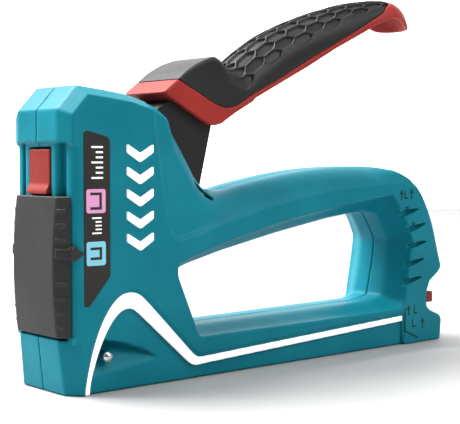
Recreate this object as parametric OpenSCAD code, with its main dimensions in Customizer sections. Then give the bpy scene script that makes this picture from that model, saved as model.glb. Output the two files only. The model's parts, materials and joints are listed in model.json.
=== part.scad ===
// Hand tacker: a lever-operated staple gun in two moulded half shells.
// The nose points to -X, the rear foot to +X, and the tool stands on its flat base at Z = 0.
// Outlines are drawn in nose coordinates, where X = 0 is the foot of the nose.

/* [Body] */
// Width across both half shells
body_w = 33.2; // [32:0.2:36]
// Height of the tower's crest above the base
crest_z = 94; // [93:0.2:95]
// How far the cap's side edges are chamfered down
cap_chamfer = 3; // [2:0.2:3.4]
// Radius of the long arc along the top bar
bar_r = 288; // [240:1:340]
// How deep the panel behind the badge is sunk into the side
panel_depth = 1.4; // [0.6:0.1:2]

/* [Selector slider] */
// How far the slider's front bulges ahead of the nose
slider_bulge = 4.1; // [3.6:0.1:5]
// Lowest edge of the slider
slider_z0 = 17.6; // [17.4:0.1:18]
// Highest edge of the slider
slider_z1 = 60.3; // [58:0.1:61]

/* [Lever] */
// Width of the lever
lever_w = 23; // [22:0.5:24]
// Distance from the foot of the nose back to the lever's pivot
pivot_x = 16; // [15.6:0.1:16.4]
// Height of the lever's pivot
pivot_z = 80; // [79.6:0.1:80.4]
// Radius of the lever's pivot pin
pivot_r = 2; // [1.8:0.1:2.2]

/* [Mechanism] */
// Thickness of the driver blade
blade_t = 1; // [0.8:0.1:1.1]
// Width of the driver blade
blade_w = 10.4; // [10:0.1:10.6]
// Outer radius of the main spring
main_spring_r = 4; // [3.6:0.1:4]
// Outer radius of the pusher spring
push_spring_r = 2.6; // [2.2:0.1:2.7]
// Length of the staple strip in the magazine
strip_len = 50; // [20:1:52]

/* [Hidden] */
$fn = 48;
foot_x = 174.5;
nose_x = -(foot_x - slider_bulge) / 2;
half_w = body_w / 2;
flat_w = 11.2;
eps = 0.05;
far = 60;

// nose and cap
nose_top = 16.9;
cap_z = 76.6;
cap_front = -1.9;
tongue_x = -0.7;
tongue_w = 9.3;
rail_groove = [0.3, 2.2];
rail_y = 12.4;

// top bar: arc centre under its highest point
bar_top = 68.95;
bar_cx = 133;

// mechanism
cavity_w = 12.6;
cheek_y = [6, 8.6];
rocker_pos = [28, 48];
rocker_front = 20.8;
rocker_rest = 16.6;
roller_pos = [50, 60];
roller_r = 3;
carrier_z = [34, 50];
spring_x = 8.4;
spring_top = 88.8;
blade_x = 3;
window_z = 42.05;
slot_top = 63.2;
catch_back = 2.9;

// magazine
chan_half = 6.8;
chan_top = 12;
sheet = 0.8;
crown_half = 5.3;
wire = 0.6;
mag_front = 4.4;
cap_x0 = 158;
cap_x1 = 173.4;
rod_z = 5.6;

// screws: position of each axis in X and Z
screw_at = [[22, 20.5], [98, 59.6], [150.5, 60], [158.5, 21]];
screw_r = 1.5;
screw_head_r = 3;

// ---- outlines ------------------------------------------------------------

// points along an arc about c, from angle a0 to a1 in n steps
function arc(c, r, a0, a1, n) = [for (i = [0:n]) let (a = a0 + (a1 - a0) * i / n)
    [c[0] + r * cos(a), c[1] + r * sin(a)]];

function unit(v) = v / norm(v);
function normal(a, b) = let (t = unit(b - a)) [-t[1], t[0]];

// outline p moved inwards by d, with mitred corners; d is one number or one for each point
function inset(p, d) = [for (i = [0:len(p) - 1])
    let (n = normal(p[(i + len(p) - 1) % len(p)], p[i]), m = normal(p[i], p[(i + 1) % len(p)]))
    p[i] + (is_list(d) ? d[i] : d) * (n + m) / (1 + n * m)];

// angle on the bar's arc at a given X
function bar_angle(x) = acos((x - bar_cx) / bar_r);

// silhouette of the body, in three stretches from the foot round to the nose
rear_outline = [[-8, -4], [foot_x - 1.2, -4], [foot_x - 0.4, 1.2], [foot_x, 8.2], [foot_x - 1, 9.8],
    [166.4, 12.7], [165.2, 14.6], [165.4, 19.8], [167, 23.8], [172.2, 26.9], [173.4, 29.2],
    [171.3, 36], [168, 45.2], [164.2, 53.6], [160, 59.8], [154.8, 64.6], [148.4, 67.9]];
bar_outline = concat(
    arc([bar_cx, bar_top - bar_r], bar_r, bar_angle(142), bar_angle(68), 14),
    [[61.8, 61.1], [57, 63.4], [54, 66], [49.7, 71.4], [41.8, 82.2], [39.6, 85], [37.1, 87.6]]);
cap_outline = [[33.8, 88.9], [23, crest_z - 2], [14, crest_z - 0.9], [5, crest_z], [-8, crest_z - 14.1]];
body_outline = concat(rear_outline, bar_outline, cap_outline);

// how far each point of the silhouette is drawn in at the side faces
edge_drop = concat([for (p = rear_outline) 0.6], [for (p = bar_outline) 3.2],
    [for (p = cap_outline) cap_chamfer]);

// the hand hole where it meets the side faces, and where it passes through the middle
hole_side = [[50.4, 13.4], [144.6, 13], [150.2, 16.4], [152.2, 25.4], [152.8, 36.6], [150.2, 45.6],
    [145.6, 54], [139.4, 57.2], [121.6, 55.1], [91.6, 50.8], [64.2, 44.9], [44.4, 39.4], [41, 37.6],
    [40.4, 34.8], [43.8, 19.6], [46, 15]];
hole_mid = [[52.6, 15.2], [142.6, 15], [146.6, 17.8], [149, 25.8], [151.2, 36.4], [148.6, 44.2],
    [143.6, 50.4], [137, 51.6], [118, 49.3], [92, 45.3], [66, 40.2], [50, 36.4], [46.6, 34.8],
    [46, 32.6], [48, 20.6], [49.6, 16.4]];

// the part of the side that is sunk behind the badge and along the bar
panel_outline = concat(
    [[30.4, 84.2], [34.6, 57], [38, 47.6], [41.2, 44.8], [45.4, 45.8], [77.6, 54.2], [106.2, 59.6],
     [138, 61.4], [143, 64.4], [150, 74], [100, 76], [60, 70], [52, 76], [42, 92], [31.5, 92]]);

// hollow for the hammer, the rocker and the lever's arm
works_outline = [[4.3, 29.6], [14, 29.6], [33, 36], [40.4, 42.8], [50.6, 46.2], [58.6, 58.6],
    [49.6, 64.6], [44.4, 71], [35.6, 83], [33.4, 84.6], [16, 89.8], [4.3, 89.8]];

// opening in the shoulder that the lever's arm swings through
slot_outline = [[32.4, 80], [44, 71], [52, 58], [59.6, 60.6], [64, 66], [62, 92], [32.4, 92]];

// narrow well under the works that the rocker's rear end drops into
well_outline = [[23, 45], [28, 42.8], [43, 39.2], [52.8, 39.6], [54.4, 50], [40, 52]];

scale_outline = [[4.1, 28], [5.4, 26.8], [13.8, 35.5], [13.9, 77.2], [13, 78.3], [5, 79.9], [4.1, 79]];

stripe_outer = concat([[4.4, -1], [5.1, 4.6], [7.4, 13.2], [10.6, 21], [14.4, 26.6], [18.2, 29.4],
    [22.2, 30.1], [25.6, 29.1], [28.4, 26.6], [46.8, 8], [49.2, 6.8], [52.4, 6.9], [150.2, 11.2]]);
stripe_inner = [[150.2, 8.8], [50.4, 4.4], [47.6, 4.2], [45.2, 5.4], [25.2, 23.6], [22.6, 25.2],
    [19.4, 24.6], [16.4, 22.8], [13.2, 18.8], [10, 12.8], [7.4, 5.2], [6.4, -1]];

// ---- helpers -------------------------------------------------------------

module in_frame() {
    translate([nose_x, 0, 0]) children();
}

// extrudes an X-Z outline from y0 to y1
module slab(y0, y1) {
    translate([0, y1, 0]) rotate([90, 0, 0]) linear_extrude(y1 - y0) children();
}

// a round bar along Y
module pin(at, r, y0, y1, sides = $fn) {
    translate([at[0], y1, at[1]]) rotate([90, 0, 0]) cylinder(r = r, h = y1 - y0, $fn = sides);
}

// the same shape on both sides
module both_sides() {
    children();
    mirror([0, 1, 0]) children();
}

// a solid through equal-sized outlines, each [y, points]
module loft(rings) {
    n = len(rings[0][1]);
    last = len(rings) - 1;
    points = [for (ring = rings) for (p = ring[1]) [p[0], ring[0], p[1]]];
    ends = [[for (i = [n - 1:-1:0]) i], [for (i = [0:n - 1]) last * n + i]];
    walls = [for (k = [0:last - 1]) for (i = [0:n - 1]) let (j = (i + 1) % n)
        each [[k * n + i, k * n + j, (k + 1) * n + j], [k * n + i, (k + 1) * n + j, (k + 1) * n + i]]];
    polyhedron(points, concat(ends, walls));
}

// a helical spring along Z, from z0 to z1, about [x, 0]
module coil(r, wire_r, z0, z1, turns) {
    steps = turns * 14;
    sides = 6;
    pitch = (z1 - z0 - 2 * wire_r) / turns;
    points = [for (i = [0:steps])
        let (a = 360 * turns * i / steps, z = z0 + wire_r + pitch * turns * i / steps)
        for (k = [0:sides - 1]) let (b = 360 * k / sides, q = r - wire_r + wire_r * cos(b))
        [q * cos(a), q * sin(a), z + wire_r * sin(b)]];
    walls = [for (i = [0:steps - 1]) for (k = [0:sides - 1]) let (j = (k + 1) % sides)
        each [[i * sides + k, (i + 1) * sides + k, (i + 1) * sides + j],
            [i * sides + k, (i + 1) * sides + j, i * sides + j]]];
    ends = [[for (k = [0:sides - 1]) k], [for (k = [sides - 1:-1:0]) steps * sides + k]];
    polyhedron(points, concat(walls, ends));
}

// ---- housing -------------------------------------------------------------

// plan outline of the front: flat face half width, chamfer and the full width behind it
module front_plan(x, flat, back) {
    polygon([[x, -flat], [back, -half_w - 1], [far * 4, -half_w - 1], [far * 4, half_w + 1],
        [back, half_w + 1], [x, flat]]);
}

// limits the front end to the nose, the tongue under the slider and the cap
module front_limit() {
    hull() {
        translate([0, 0, -1]) linear_extrude(eps) front_plan(0.1, 12, 5);
        translate([0, 0, nose_top - eps]) linear_extrude(eps) front_plan(cap_front, 11, 0.4);
    }
    translate([0, 0, nose_top - eps]) linear_extrude(cap_z - nose_top + 2 * eps) {
        translate([tongue_x, -tongue_w]) square([far, 2 * tongue_w]);
        translate([rail_groove[1], -far]) square([4 * far, 2 * far]);
        for (s = [-1, 1]) translate([rail_groove[0], s > 0 ? rail_y : -far]) square([far, far - rail_y]);
    }
    translate([0, 0, cap_z]) linear_extrude(20) front_plan(cap_front, 10, 0.5);
}

// outside shape of both half shells together
module body_blank() {
    over = 0.3;
    side = inset(body_outline, edge_drop * (1 + over / (half_w - flat_w)));
    intersection() {
        loft([[-half_w - over, side], [-flat_w, body_outline], [flat_w, body_outline],
            [half_w + over, side]]);
        front_limit();
        translate([-far, -half_w, 0]) cube([5 * far, body_w, 3 * far]);
    }
}

module hand_hole() {
    loft([[-half_w - 1, inset(hole_side, -0.6)], [-half_w + 0.4, hole_side], [-8, hole_mid],
        [8, hole_mid], [half_w - 0.4, hole_side], [half_w + 1, inset(hole_side, -0.6)]]);
}

// hollow at the nose for the blade, the nose plate and the channel's front end
module blade_slot() {
    translate([1.7, -8.3, -1]) cube([mag_front - 1.7, 16.6, slot_top + 1]);
}

module magazine_space() {
    translate([mag_front - 0.1, -chan_half - 0.1, -1])
        cube([cap_x0 - mag_front, 2 * chan_half + 0.2, chan_top + 1.1]);
    translate([cap_x0 - 0.3, -9.3, -1]) cube([far, 18.6, 14.2]);
    translate([164, -9.3, 12]) cube([far, 18.6, 12.4]);
}

// pocket for the catch button, with room behind it for its spring
module catch_space() {
    translate([-3, -6.3, 60.4]) cube([3 + catch_back, 12.6, 14.9]);
}

// five dart-shaped grip grooves in the rear column
module grip_grooves() {
    for (i = [0:4])
        translate([0, 0, 52.6 - 7 * i]) slab(-half_w - 1, -half_w + 0.9)
            polygon([[146.6 - 0.6 * i, -0.6], [159 + i, -2.2], [163.4 + 1.4 * i, 0.4], [159 + i, 0.6]]);
}

// leaf-shaped scoop with a sloping floor that shows the nose pin
module scoop() {
    leaf = [[7.6, 5.2], [17, 5.6], [26, 6.6], [32.4, 8.2], [24.6, 12.4], [16.4, 15.2], [11.8, 16],
        [9.4, 11.6]];
    loft([[-half_w - 1, inset(leaf, -0.4)], [-half_w + 0.3, leaf], [-half_w + 3.4, inset(leaf, 1.6)]]);
}

module sides_pockets() {
    both_sides() {
        slab(-half_w - 1, -half_w + panel_depth) polygon(panel_outline);
        slab(-half_w - 1, -half_w + 0.6) polygon(scale_outline);
        slab(-half_w - 1, -half_w + 1) polygon(concat(stripe_outer, stripe_inner));
        scoop();
        grip_grooves();
    }
}

// bores for the pins that both shells hold
module pin_bores() {
    pin([pivot_x, pivot_z], pivot_r, -14, 14);
    pin(rocker_pos, 1.5, -14, 14);
    both_sides() pin([13.3, 10.8], 1.9, -half_w, -chan_half + eps);
}

// light hollows in the bar and the rear column
module bar_hollow() {
    intersection() {
        pin([bar_cx, bar_top - bar_r], bar_r - 4.2, -9.6, 9.6, 720);
        slab(-9.6, 9.6) polygon([[66, 53], [92, 50], [118, 53.8], [137, 56.4], [143, 56],
            [143, 80], [105, 80], [104, 53.8], [92, 53.6], [90.5, 80], [66, 80]]);
    }
    slab(-9.6, 9.6) polygon([[155.6, 28], [168.6, 31], [165.6, 40], [161.2, 50], [155.6, 55.6],
        [152.6, 52], [156, 40]]);
}

module shell_inside() {
    slab(-cavity_w, cavity_w) polygon(works_outline);
    slab(-5, 5) polygon(well_outline);
    slab(-9.3, 9.3) polygon(slot_outline);
    blade_slot();
    magazine_space();
    catch_space();
    bar_hollow();
}

module shells() {
    difference() {
        body_blank();
        hand_hole();
        shell_inside();
        sides_pockets();
        pin_bores();
    }
}

module left_housing() {
    color("#1a7888") in_frame() difference() {
        intersection() {
            shells();
            translate([-far, -far, -1]) cube([5 * far, far, 3 * far]);
        }
        for (p = screw_at) pin(p, screw_r - 0.1, -12, 1);
    }
}

module right_housing() {
    color("#1a7888") in_frame() difference() {
        intersection() {
            shells();
            translate([-far, 0, -1]) cube([5 * far, far, 3 * far]);
        }
        for (p = screw_at) {
            pin(p, screw_r + 0.1, -1, half_w + 1);
            pin(p, screw_head_r + 0.2, half_w - 4.4, half_w + 1);
        }
    }
}

// ---- trim ----------------------------------------------------------------

module stripe() {
    intersection() {
        slab(-half_w - 0.3, -half_w + 1) polygon(concat(stripe_outer, stripe_inner));
        translate([-far, -far, 0]) cube([5 * far, 2 * far, 3 * far]);
    }
}

module left_stripe() {
    color("white") in_frame() stripe();
}

module right_stripe() {
    color("white") in_frame() mirror([0, 1, 0]) stripe();
}

module scale_plate() {
    slab(-half_w, -half_w + 0.6) polygon(scale_outline);
}

module left_scale_plate() {
    color("#302e2c") in_frame() scale_plate();
}

module right_scale_plate() {
    color("#302e2c") in_frame() mirror([0, 1, 0]) scale_plate();
}

// a column of plain chevrons that point down towards the staple outlet
module badge() {
    for (i = [0:4])
        translate([24.9, 0, 43 + 6.9 * i]) slab(-half_w - 0.9, -half_w)
            polygon([[0, 0], [5, 3], [5, 5.6], [0, 2.8], [-5, 5.6], [-5, 3]]);
}

module left_badge() {
    color("#eeeeee") in_frame() badge();
}

module right_badge() {
    color("#eeeeee") in_frame() mirror([0, 1, 0]) badge();
}

// ---- fixed metal parts ---------------------------------------------------

// steel plate that closes the front of the blade's way
module nose_plate() {
    color("silver") in_frame() translate([1.8, -8.2, 0.3]) cube([blade_x - 0.1 - 1.8, 16.4, 26]);
}

module nose_pins() {
    color("silver") in_frame() both_sides() {
        pin([13.3, 10.8], 1.9, -half_w + 1.6, -chan_half);
        translate([13.3, -half_w + 1.6, 10.8]) intersection() {
            sphere(r = 1.9);
            translate([-2, -2, -2]) cube([4, 2, 4]);
        }
    }
}

// folded steel channel that guides the staples' legs from outside
module magazine_channel() {
    color("gainsboro") in_frame() difference() {
        translate([mag_front, -chan_half, 0.2])
            cube([cap_x0 - 2 - mag_front, 2 * chan_half, chan_top - 0.2]);
        translate([mag_front - 1, -chan_half + sheet, -1])
            cube([cap_x0, 2 * (chan_half - sheet), chan_top + 1 - sheet]);
    }
}

module lever_pivot_pin() {
    color("silver") in_frame() pin([pivot_x, pivot_z], pivot_r, -13.9, 13.9);
}

module rocker_pin() {
    color("silver") in_frame() pin(rocker_pos, 1.5, -13.9, 13.9);
}

// pan-head screws with a hexagon socket, all driven from the right-hand side
module housing_screws() {
    color("dimgray") in_frame() for (p = screw_at) difference() {
        union() {
            pin(p, screw_r, -10, half_w - 4.3);
            pin(p, screw_head_r, half_w - 4.4, half_w - 2.2);
        }
        translate([p[0], half_w - 2, p[1]]) rotate([90, 0, 0]) cylinder(r = 1.5, h = 1.6, $fn = 6);
    }
}

module spring_seat() {
    color("silver") in_frame() translate([spring_x, 0, spring_top]) difference() {
        union() {
            cylinder(r = main_spring_r, h = 0.9);
            translate([0, 0, -5]) cylinder(r = 2, h = 5.2);
        }
        translate([0, 0, -6]) cylinder(r = 0.8, h = 8);
    }
}

module main_spring() {
    color("silver") in_frame() translate([spring_x, 0, 0])
        coil(main_spring_r, 0.7, carrier_z[1] + 0.1, spring_top - 0.1, 9);
}

// ---- lever ---------------------------------------------------------------

head_bottom = [[39.2, 93.2], [55, 84.6], [57.4, 83.4], [60.2, 82.9], [63, 83.4], [77.4, 91.2],
    [78.8, 92.6], [105, 105.2], [134, 119.2], [146.6, 124.9], [151, 126.4], [155, 126.7],
    [160, 125.9], [165, 124.3], [169, 122.4], [171.2, 122.9], [171.9, 124.8]];
frame_top = [[170.4, 127.2], [166.6, 129.5], [161.6, 131.5], [157, 132.5], [154.2, 132.7],
    [150, 130.2], [144.8, 126.8], [134, 121.6], [105, 107.4], [92, 101], [78, 94.2], [70, 89.8],
    [65.4, 88.9], [61, 89.8], [46, 98]];

// width of the lever in plan, with chamfered head corners and a round tail
module lever_plan() {
    half = lever_w / 2;
    polygon(concat([[39, -half + 1.6], [41.2, -half], [148, -half]],
        [for (a = [-80:16:80]) [150 + 22 * cos(a), half * sin(a)]],
        [[148, half], [41.2, half], [39, half - 1.6]]));
}

// hollow in the underside of the frame, from the head to the root of the tail
module frame_hollow() {
    slab(-lever_w / 2 + 2.4, lever_w / 2 - 2.4) polygon([[43, 80], [64, 80], [80, 90.6], [136, 117.6],
        [140, 121.4], [133, 120], [105, 106.4], [78, 93.2], [65.4, 87.9], [61, 88.8], [47.4, 95.8],
        [43, 93.4]]);
}

// slot to hang the tool on a peg, through the tail's plate
module hanging_slot() {
    translate([157.6, 0, 128]) rotate([0, 8, 0]) hull() for (s = [-1, 1])
        translate([0, 3 * s, -8]) cylinder(r = 2.6, h = 16);
}

module lever_frame() {
    color("#a0322d") in_frame() difference() {
        intersection() {
            slab(-lever_w / 2, lever_w / 2) polygon(concat(head_bottom, frame_top));
            translate([0, 0, 60]) linear_extrude(90) lever_plan();
        }
        frame_hollow();
        hanging_slot();
    }
}

// sections of the grip: X, underside, top and half width
grip_table = [[46, 98, 98.6, 10.2], [50, 96.2, 101.4, 11.2], [54, 94, 103.6, 11.4], [58, 91.8, 105, 11.4],
    [62, 90.2, 105.5, 11.4], [66, 89.6, 104.6, 11.4], [70, 90.2, 103.6, 11.4], [74, 92.4, 105, 11.4],
    [80, 95.4, 109.6, 11.4], [90, 100.2, 115.3, 11.4], [100, 105.2, 120.1, 11.4],
    [110, 110, 124.2, 11.4], [120, 115, 127.5, 11.4], [130, 119.8, 130.2, 11.2],
    [138, 123.8, 131.8, 10.6], [146, 127.8, 132.9, 9.2], [151, 131, 133.1, 7], [154, 132.6, 132.9, 4]];

// one cross-section of the grip: flat underside, upright sides and a rounded top
function grip_section(s, n) = let (h = s[2] - s[1])
    concat([[s[0], -s[3], s[1]]],
        [for (i = [0:n]) let (a = 180 * i / n, c = cos(a))
            [s[0], -s[3] * sign(c) * pow(abs(c), 0.55), s[1] + h * (0.42 + 0.58 * pow(sin(a), 0.8))]],
        [[s[0], s[3], s[1]]]);

module lever_grip() {
    sections = [for (s = grip_table) grip_section(s, 10)];
    n = len(sections[0]);
    last = len(sections) - 1;
    walls = [for (k = [0:last - 1]) for (i = [0:n - 1]) let (j = (i + 1) % n)
        each [[k * n + i, (k + 1) * n + j, k * n + j], [k * n + i, (k + 1) * n + i, (k + 1) * n + j]]];
    ends = [[for (i = [0:n - 1]) i], [for (i = [n - 1:-1:0]) last * n + i]];
    color("#262626") in_frame() polyhedron([for (s = sections) each s], concat(walls, ends));
}

// black arm that reaches from the head down into the tower
module lever_arm() {
    outer = [[14, 75.2], [20, 73.4], [46.6, 55.6], [52.4, 56], [55.4, 62], [60.8, 83.4], [60.8, 88.9],
        [47.4, 95.8], [43.4, 93.6], [43.2, 90.6], [38.8, 88.4], [32, 83.2], [18, 85],
        [12.6, 83.6], [11, 80], [12, 76.6]];
    inner = [[8, 60], [30, 60], [44, 50], [62, 50], [62, 64], [53.9, 64], [58.6, 84], [58.6, 86.4],
        [47.6, 92.4], [40, 86], [34, 80.4], [8, 90]];
    color("#1c1c1c") in_frame() difference() {
        slab(-cheek_y[1], cheek_y[1]) polygon(outer);
        slab(-cheek_y[0], cheek_y[0]) polygon(inner);
        pin([pivot_x, pivot_z], pivot_r + 0.05, -far, far);
        pin(roller_pos, 1.5, -far, far);
    }
}

module lever_roller() {
    color("silver") in_frame() difference() {
        pin(roller_pos, roller_r, -5.4, 5.4);
        pin(roller_pos, 1.55, -far, far);
    }
}

module roller_pin() {
    color("silver") in_frame() pin(roller_pos, 1.5, -cheek_y[1], cheek_y[1]);
}

// ---- hammer works --------------------------------------------------------

// steel rocker: its rear pad is pressed by the lever's roller and its tip lifts the hammer
module rocker() {
    tip = rocker_pos + rocker_front * [-cos(rocker_rest), -sin(rocker_rest)];
    color("gray") in_frame() difference() {
        union() {
            pin(tip, 2.1, -4.4, 4.4);
            pin(rocker_pos, 4, -4.4, 4.4);
            slab(-4.4, 4.4) polygon(concat([tip + [-0.4, 1.5], tip + [0.6, -1.5], rocker_pos + [1, -3.9],
                [44, 50.6], [50.6, 53.6], [51.4, 55]], arc([50.1, 41.6], 15.2, 86, 134, 8),
                [[37, 50.8], rocker_pos + [-1, 3.8]]));
        }
        pin(rocker_pos, 2, -far, far);
    }
}

module rocker_bush() {
    color("peru") in_frame() difference() {
        pin(rocker_pos, 2, -4.4, 4.4);
        pin(rocker_pos, 1.55, -far, far);
    }
}

module driver_blade() {
    color("silver") in_frame() translate([blade_x, -blade_w / 2, 0.5])
        cube([blade_t, blade_w, carrier_z[1] - 0.5]);
}

module hammer_carrier() {
    color("gray") in_frame() difference() {
        translate([blade_x + blade_t, -7.2, carrier_z[0]])
            cube([8.4, 14.4, carrier_z[1] - carrier_z[0]]);
        translate([blade_x + blade_t, 0, window_z]) slab(-4.9, 4.9)
            polygon([[0.9, -2.8], [4.2, -2.8], [8.6, -4.9], [8.6, 4.9], [4.2, 2.8], [0.9, 2.8]]);
        for (z = [36.4, 47.6]) translate([0, 0, z]) rotate([0, 90, 0]) cylinder(r = 1.2, h = 7);
    }
}

module blade_rivets() {
    color("silver") in_frame() for (z = [36.4, 47.6])
        translate([blade_x + blade_t, 0, z]) rotate([0, 90, 0]) cylinder(r = 1.2, h = 2.6);
}

// ---- selector slider and catch -------------------------------------------

module selector_slider() {
    mid = (slider_z0 + slider_z1) / 2;
    reach = (slider_z1 - slider_z0) / 2;
    bow = 1.1;
    r = (reach * reach + bow * bow) / (2 * bow);
    color("#232323") in_frame() difference() {
        union() {
            intersection() {
                translate([0, 0, slider_z0]) linear_extrude(slider_z1 - slider_z0) both_sides_2d()
                    polygon([[-far, 0], [-far, -11.2], [-slider_bulge, -11.2], [-0.1, -15.9],
                        [-0.1, -12.1], [1.9, -12.1], [1.9, -9.7], [-1.1, -9.7], [-1.1, 0]]);
                pin([r - slider_bulge, mid], r, -far, far, 720);
            }
            both_sides() slab(-half_w - 0.8, -half_w - 0.15)
                polygon([[-0.4, 38.6], [1.4, 40.4], [2.6, 40.4], [5.2, 42.4], [2.6, 44.4], [1.4, 44.4],
                    [-0.4, 46.2]]);
            both_sides() slab(-half_w - 0.8, -15.2)
                polygon([[-0.9, 38.6], [-0.1, 38.6], [-0.1, 46.2], [-0.9, 46.2]]);
        }
        translate([-2, -6.7, slider_z0 - 1]) cube([1.2, 13.4, far]);
        both_sides() for (i = [0:8]) if (i != 4)
            translate([0, 0, slider_z0 + 3.6 + 4.4 * i]) slab(-far, -14.4)
                polygon([[-2.4, 0], [0.2, 0], [0.2, 0.9], [-2.4, 0.9]]);
    }
}

module both_sides_2d() {
    children();
    mirror([0, 1]) children();
}

module catch_button() {
    color("#9c3a34") in_frame() difference() {
        slab(-6.05, 6.05) polygon([[-1, 63.6], [-1.7, 60.9], [1.4, 60.9], [1.4, 74.9], [-0.8, 74.9],
            [-1, 74.6]]);
        translate([0.4, 0, 68]) rotate([0, 90, 0]) cylinder(r = 1.9, h = 4);
    }
}

// drawn at its pressed length, against the wall behind the button
module catch_spring() {
    color("silver") in_frame() translate([catch_back, 0, 68]) rotate([0, 90, 0])
        coil(1.7, 0.2, -1.2, -0.05, 2);
}

// ---- magazine ------------------------------------------------------------

// folded steel rail that the staples straddle
module magazine_rail() {
    color("lightgray") in_frame() difference() {
        translate([mag_front + 0.2, -4.2, 1]) cube([cap_x0 - mag_front - 0.2, 8.4, 8.4]);
        translate([mag_front + 2.4, -3.4, 0]) cube([cap_x0, 6.8, 8.6]);
        translate([mag_front + 6, -1.2, 8]) cube([140, 2.4, 2]);
    }
}

module magazine_end_cap() {
    color("#9c3a34") in_frame() difference() {
        translate([cap_x0, -8.9, 0.4]) cube([cap_x1 - cap_x0, 17.8, 11.2]);
        translate([166.6, -8.1, 7.4]) cube([far, 16.2, 5]);
    }
}

module guide_rod() {
    color("silver") in_frame() translate([mag_front + 2.4, 0, rod_z]) rotate([0, 90, 0])
        cylinder(r = 1.1, h = cap_x0 - mag_front - 2.4);
}

// thumb catch that stands up into the notch above the foot
module rear_catch() {
    color("#a8322c") in_frame() difference() {
        slab(-7.9, 7.9) polygon([[167, 10.2], [172.8, 10.2], [172.8, 18.6], [171.8, 20], [169, 20],
            [168.2, 18.4], [168, 14.4], [167, 13.4]]);
        translate([170, 0, 10]) cylinder(r = 1.9, h = 2.4);
    }
}

module rear_catch_spring() {
    color("silver") in_frame() translate([170, 0, 0]) coil(1.7, 0.25, 7.5, 12.3, 4);
}

// saddle that pushes the strip forward, with a tongue inside the rail
module staple_pusher() {
    x0 = mag_front + strip_len + 1;
    color("darkgray") in_frame() difference() {
        translate([x0, -5.3, 2.4]) cube([9, 10.6, 8.4]);
        translate([x0 - 1, -4.4, 0]) cube([20, 8.8, 9.6]);
    }
    color("darkgray") in_frame() difference() {
        union() {
            translate([x0 + 2, -1, 8.2]) cube([6, 2, 2]);
            translate([x0 + 2, -3.1, 3]) cube([6, 6.2, 5.4]);
        }
        translate([x0, 0, rod_z]) rotate([0, 90, 0]) cylinder(r = 1.2, h = 10);
    }
}

// drawn at the length it has with the pusher drawn right back
module pusher_spring() {
    turns = 24;
    length = turns * 0.78;
    color("silver") in_frame() translate([cap_x0 - 0.1, 0, rod_z]) rotate([0, 90, 0])
        coil(push_spring_r, 0.35, -length, 0, turns);
}

// a strip of glued staples, drawn as one folded comb
module staple_strip() {
    pitch = 2.5;
    color("whitesmoke") in_frame() difference() {
        translate([mag_front + 0.1, -crown_half, 2.6]) cube([strip_len, 2 * crown_half, 8]);
        translate([mag_front - 1, -crown_half + wire, 0])
            cube([strip_len + 2, 2 * (crown_half - wire), 10.6 - wire]);
        for (i = [1:strip_len / pitch - 1]) both_sides()
            translate([mag_front + pitch * i, -crown_half - 0.1, 2]) cube([0.2, 0.25, 10]);
    }
}

left_housing();
right_housing();
left_stripe();
right_stripe();
left_scale_plate();
right_scale_plate();
left_badge();
right_badge();
nose_plate();
nose_pins();
magazine_channel();
lever_pivot_pin();
rocker_pin();
housing_screws();
main_spring();
spring_seat();
lever_frame();
lever_grip();
lever_arm();
lever_roller();
roller_pin();
rocker();
rocker_bush();
driver_blade();
hammer_carrier();
blade_rivets();
selector_slider();
catch_button();
catch_spring();
magazine_rail();
magazine_end_cap();
guide_rod();
rear_catch();
rear_catch_spring();
staple_pusher();
pusher_spring();
staple_strip();
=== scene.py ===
"""Looks of a hand tacker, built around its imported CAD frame.

Shapes are worked out in millimetres in nose coordinates, where X = 0 is the foot of the nose, Y = 0 the
parting plane and Z = 0 the base, and become metres in the frame when a mesh is made. The moulded parts
are fields: functions that are negative inside the part and tell the distance to its surface.
"""
import json
import math
from functools import reduce
from itertools import product

import bmesh
import bpy
import numpy as np
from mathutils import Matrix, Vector


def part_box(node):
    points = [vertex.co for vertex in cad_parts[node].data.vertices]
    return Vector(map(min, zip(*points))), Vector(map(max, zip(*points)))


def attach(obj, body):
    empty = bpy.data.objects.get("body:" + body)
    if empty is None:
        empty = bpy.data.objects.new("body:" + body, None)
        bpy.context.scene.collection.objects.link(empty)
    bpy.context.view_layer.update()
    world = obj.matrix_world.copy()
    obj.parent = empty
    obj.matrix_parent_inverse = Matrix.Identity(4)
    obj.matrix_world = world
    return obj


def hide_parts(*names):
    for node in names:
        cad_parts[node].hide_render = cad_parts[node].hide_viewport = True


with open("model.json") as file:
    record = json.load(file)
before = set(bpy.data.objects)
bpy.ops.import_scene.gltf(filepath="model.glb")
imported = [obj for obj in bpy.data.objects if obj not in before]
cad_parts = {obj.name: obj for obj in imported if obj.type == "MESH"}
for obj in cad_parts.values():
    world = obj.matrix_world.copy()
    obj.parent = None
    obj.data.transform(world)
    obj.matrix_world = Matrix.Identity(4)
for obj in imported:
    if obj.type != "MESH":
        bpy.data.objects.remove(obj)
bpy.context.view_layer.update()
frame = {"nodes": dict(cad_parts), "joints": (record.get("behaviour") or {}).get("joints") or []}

JOINT = {joint["name"]: joint for joint in frame["joints"]}
PIVOT = (16.0, 80.0)
NOSE_X = JOINT["lever_squeeze"]["pos_m"][0] * 1000 - PIVOT[0]
HALF_W = -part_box("left_housing")[0].y * 1000


# ---- outlines ---------------------------------------------------------------

def curve(points, parts=6):
    """Points along a smooth curve through the given ones."""
    p = np.array(points, float)
    p = np.vstack([2 * p[0] - p[1], p, 2 * p[-1] - p[-2]])
    out = []
    for a, b, c, d in zip(p, p[1:], p[2:], p[3:]):
        for t in np.arange(parts) / parts:
            out.append(0.5 * (2 * b + (c - a) * t + (2 * a - 5 * b + 4 * c - d) * t**2
                              + (3 * b - a - 3 * c + d) * t**3))
    return [tuple(q) for q in out] + [tuple(p[-2])]


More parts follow.
